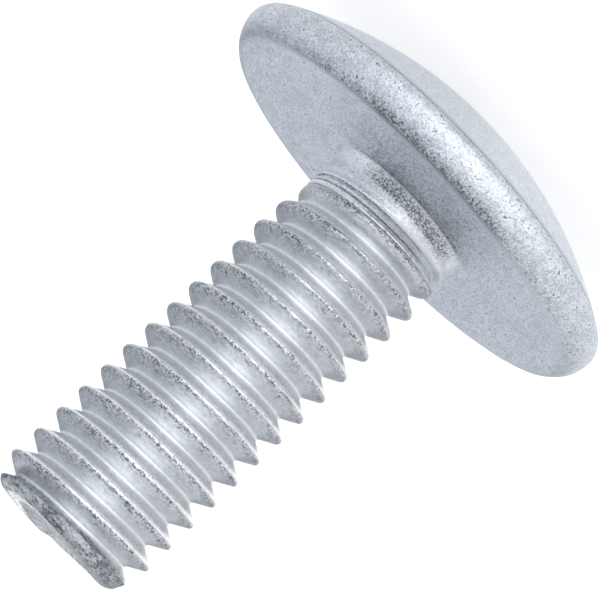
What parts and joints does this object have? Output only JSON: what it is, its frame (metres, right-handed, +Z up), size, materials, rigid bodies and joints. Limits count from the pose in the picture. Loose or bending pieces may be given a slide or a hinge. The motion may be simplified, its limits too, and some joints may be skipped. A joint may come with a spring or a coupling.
{
  "type": "mushroom head screw",
  "caption": "Machine screw with a wide, low mushroom head, a rounded rim, a short flared neck and a right-hand metric thread, standing on its head.",
  "frame": {"origin": "top of the dome, where the screw stands on the surface, under the middle of its box", "axes": "+Z up along the screw's axis, from the head to the tip; X and Y level, with the thread's start farthest from the head on the +X side"},
  "size_m": [0.0162, 0.0162, 0.0196],
  "materials": {
    "zinc_coated_steel": "zinc coating, satin, finely grained on the rim and crests"
  },
  "bodies": {
    "root": {"screw": "zinc_coated_steel"}
  },
  "joints": []
}
